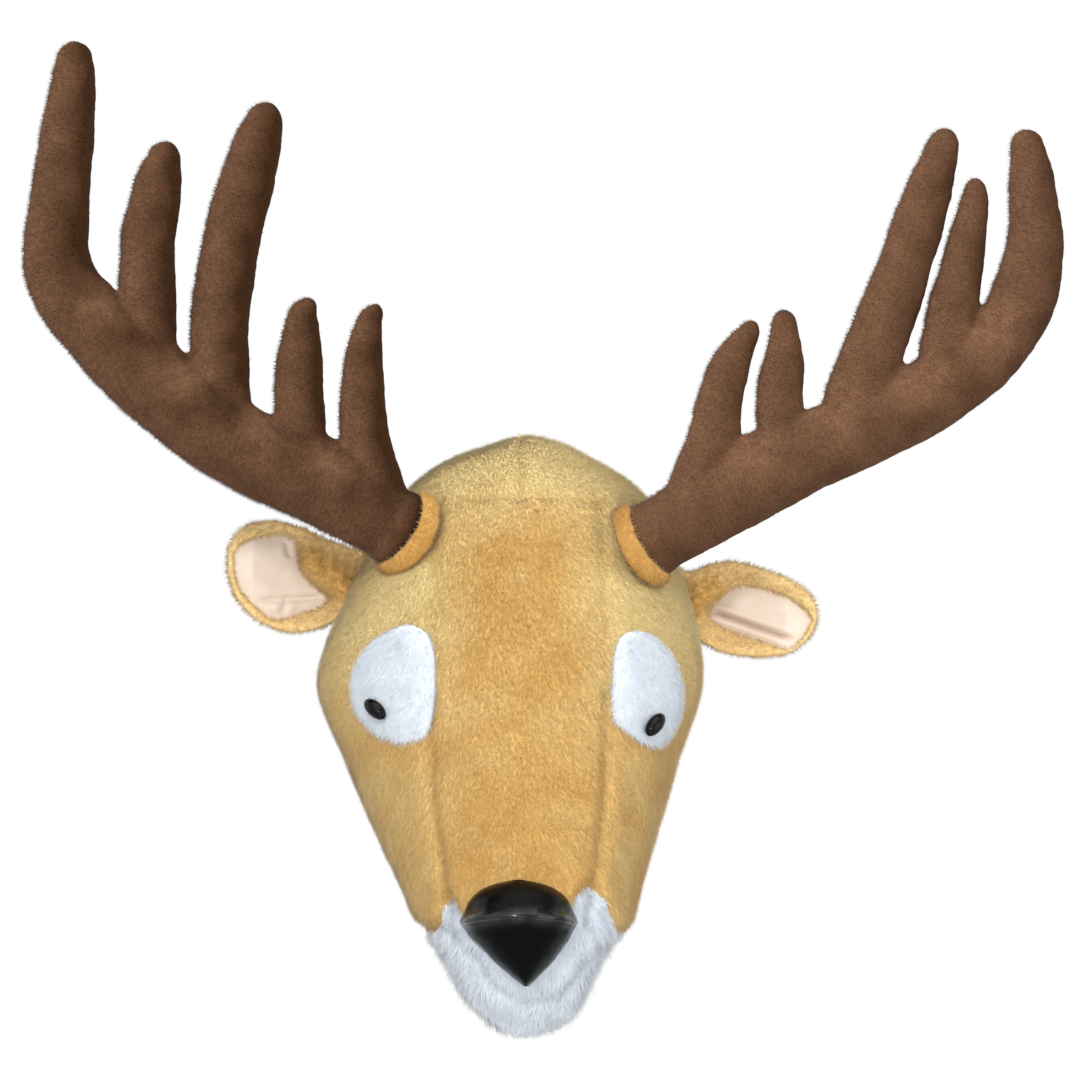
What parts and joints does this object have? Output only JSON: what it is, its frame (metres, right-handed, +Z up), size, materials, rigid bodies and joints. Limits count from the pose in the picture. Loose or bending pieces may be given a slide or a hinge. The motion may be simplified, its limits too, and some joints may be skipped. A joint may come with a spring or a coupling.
{
  "type": "plush animal head wall mount",
  "caption": "Stuffed plush stag head for a wall: seamed pile skins over filling, padded velour antlers, lined flopping ears, bead eyes, a gloss nose and a ring hanger in a back pocket.",
  "frame": {"origin": "middle of the flat rear face of the back cover, on the wall plane", "axes": "+Z up, +Y into the wall (out of the rear face), the face looks along -Y, +X to the right of someone who looks at the face"},
  "size_m": [0.5189, 0.2723, 0.4973],
  "materials": {
    "tan_plush": "matte",
    "white_plush": "matte",
    "brown_velour": "matte",
    "ear_lining": "matte",
    "nose_leatherette": "gloss",
    "bead_eye": "gloss",
    "eye_washer": "matte",
    "fibre_filling": "matte",
    "fibre_board": "matte",
    "backing_cloth": "matte",
    "hanger_steel": "satin"
  },
  "bodies": {
    "head": {"antler_collar_left": "tan_plush", "antler_collar_right": "tan_plush", "back_cover": "backing_cloth", "backing_board": "fibre_board", "cheek_panel_left": "tan_plush", "cheek_panel_right": "tan_plush", "chin_panel": "white_plush", "crown_panel_left": "tan_plush", "crown_panel_right": "tan_plush", "eye_bead_left": "bead_eye", "eye_bead_right": "bead_eye", "eye_patch_left": "white_plush", "eye_patch_right": "white_plush", "eye_washer_left": "eye_washer", "eye_washer_right": "eye_washer", "forehead_panel": "tan_plush", "hanger_plate": "hanger_steel", "hanger_screw": "hanger_steel", "head_filling": "fibre_filling", "muzzle_panel_left": "white_plush", "muzzle_panel_right": "white_plush", "nose_filling": "fibre_filling", "nose_front_panel": "nose_leatherette", "nose_top_panel": "nose_leatherette", "throat_panel": "tan_plush"},
    "antler_left": {"antler_left_back_panel": "brown_velour", "antler_left_filling": "fibre_filling", "antler_left_front_panel": "brown_velour"},
    "antler_right": {"antler_right_back_panel": "brown_velour", "antler_right_filling": "fibre_filling", "antler_right_front_panel": "brown_velour"},
    "ear_left": {"ear_left_back": "tan_plush", "ear_left_lining": "ear_lining"},
    "ear_right": {"ear_right_back": "tan_plush", "ear_right_lining": "ear_lining"},
    "hanger_ring": {"hanger_ring": "hanger_steel"}
  },
  "joints": [
    {"name": "antler_left_sway", "type": "hinge", "parent": "head", "child": "antler_left", "pos_m": [-0.06051, -0.11407, 0.05609], "axis": [0.5193, 0.0363, 0.8538], "range_deg": [-10, 10], "stiffness_Nm_per_rad": 1.6},
    {"name": "antler_right_sway", "type": "hinge", "parent": "head", "child": "antler_right", "pos_m": [0.06603, -0.11935, 0.05005], "axis": [-0.5111, -0.0628, 0.8572], "range_deg": [-10, 10], "stiffness_Nm_per_rad": 1.6},
    {"name": "ear_left_flop", "type": "hinge", "parent": "head", "child": "ear_left", "pos_m": [-0.08723, -0.072, 0.02347], "axis": [0.5446, 0, 0.8387], "range_deg": [-25, 25], "stiffness_Nm_per_rad": 0.05},
    {"name": "ear_right_flop", "type": "hinge", "parent": "head", "child": "ear_right", "pos_m": [0.08807, -0.072, 0.01743], "axis": [-0.2924, 0, 0.9563], "range_deg": [-25, 25], "stiffness_Nm_per_rad": 0.05},
    {"name": "ring_swing", "type": "hinge", "parent": "head", "child": "hanger_ring", "pos_m": [0, -0.004, 0.04008], "axis": [1, 0, 0], "range_deg": [0, 175]}
  ]
}
